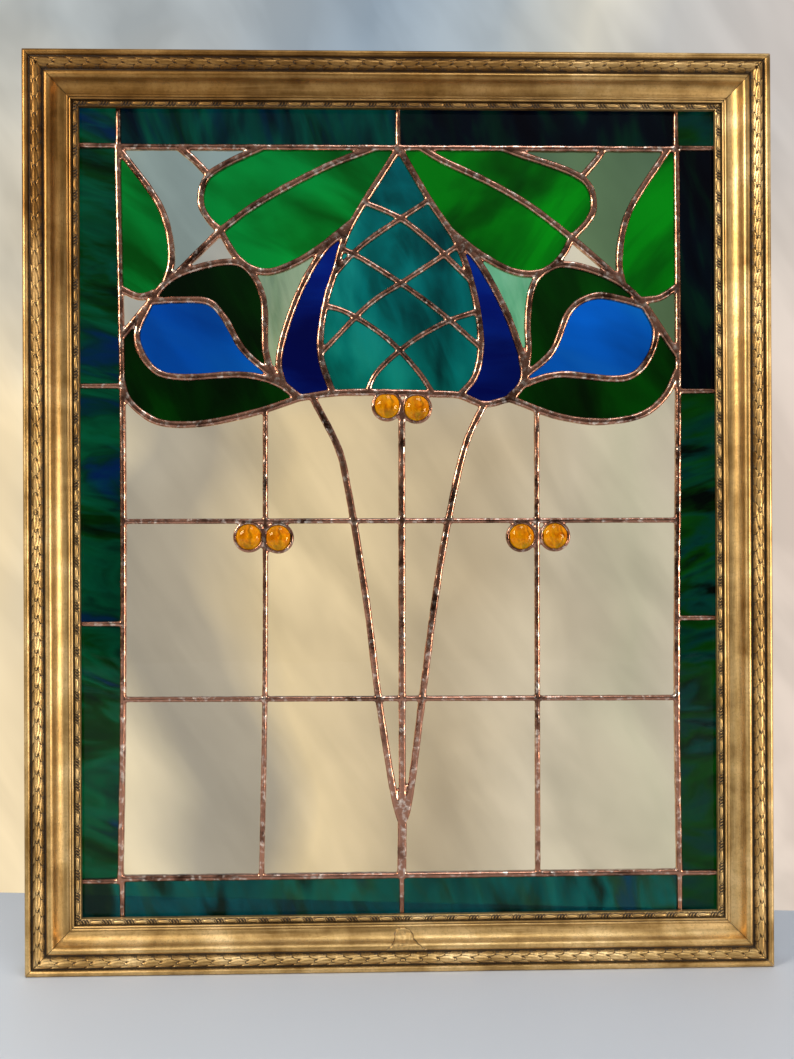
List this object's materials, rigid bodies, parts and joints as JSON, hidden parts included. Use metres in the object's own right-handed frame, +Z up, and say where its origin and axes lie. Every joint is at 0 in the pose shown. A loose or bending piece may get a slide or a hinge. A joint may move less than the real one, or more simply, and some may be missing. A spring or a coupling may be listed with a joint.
{
  "type": "stained glass window",
  "caption": "Stained glass panel of a bud between leaves and petals over clear panes, with domed amber gems, in a gilded moulded frame for hanging.",
  "frame": {"origin": "on the flat back of the frame's top rail, at mid-length, where the window meets the wall it hangs on", "axes": "+Z up, +Y backwards into the wall, the glass faces -Y, +X to the viewer's right"},
  "size_m": [0.4614, 0.025, 0.567],
  "materials": {
    "gilded_wood": "antique gilding, rubbed, with a dark wash in the hollows",
    "solder": "copper-brown patina on solder, worn bright along the ridges",
    "border_glass": "streaky dark green, teal and blue",
    "leaf_glass_left": "streaky leaf green",
    "leaf_glass_right": "streaky darker green",
    "petal_glass": "very dark green",
    "drop_glass": "bright cobalt blue",
    "bud_side_glass": "deep blue",
    "lattice_glass": "mottled teal",
    "clear_glass": "clear, slightly wavy",
    "wedge_glass": "pale green, rippled",
    "amber_glass": "amber with darker swirls"
  },
  "bodies": {
    "root": {"amber_gem_left_inner": "amber_glass", "amber_gem_left_outer": "amber_glass", "amber_gem_right_inner": "amber_glass", "amber_gem_right_outer": "amber_glass", "amber_gem_under_bud_left": "amber_glass", "amber_gem_under_bud_right": "amber_glass", "border_bottom_left": "border_glass", "border_bottom_right": "border_glass", "border_corner_bottom_left": "border_glass", "border_corner_bottom_right": "border_glass", "border_corner_top_left": "border_glass", "border_corner_top_right": "border_glass", "border_left_lower": "border_glass", "border_left_middle": "border_glass", "border_left_upper": "border_glass", "border_right_lower": "border_glass", "border_right_middle": "border_glass", "border_right_upper": "border_glass", "border_top_left": "border_glass", "border_top_right": "border_glass", "bud_lattice": "lattice_glass", "bud_side_left": "bud_side_glass", "bud_side_right": "bud_side_glass", "clear_above_leaf_left": "clear_glass", "clear_above_leaf_right": "clear_glass", "clear_by_border_left": "clear_glass", "clear_by_border_right": "clear_glass", "clear_by_corner_leaf_left": "clear_glass", "clear_by_corner_leaf_right": "clear_glass", "clear_under_leaf_left": "clear_glass", "clear_under_leaf_right": "clear_glass", "corner_leaf_left": "leaf_glass_left", "corner_leaf_right": "leaf_glass_right", "frame_rail_bottom": "gilded_wood", "frame_rail_top": "gilded_wood", "frame_stile_left": "gilded_wood", "frame_stile_right": "gilded_wood", "leaf_lower_left": "leaf_glass_left", "leaf_lower_right": "leaf_glass_right", "leaf_upper_left": "leaf_glass_left", "leaf_upper_right": "leaf_glass_right", "pane_column_beside_left_stem": "clear_glass", "pane_column_beside_right_stem": "clear_glass", "pane_column_between_stems_left": "clear_glass", "pane_column_between_stems_right": "clear_glass", "pane_outer_left_bottom": "clear_glass", "pane_outer_left_middle": "clear_glass", "pane_outer_left_top": "clear_glass", "pane_outer_right_bottom": "clear_glass", "pane_outer_right_middle": "clear_glass", "pane_outer_right_top": "clear_glass", "petal_drop_left": "drop_glass", "petal_drop_right": "drop_glass", "petal_lower_left": "petal_glass", "petal_lower_right": "petal_glass", "petal_upper_left": "petal_glass", "petal_upper_right": "petal_glass", "solder_seams": "solder", "wedge_left": "wedge_glass", "wedge_right": "wedge_glass"}
  },
  "joints": []
}
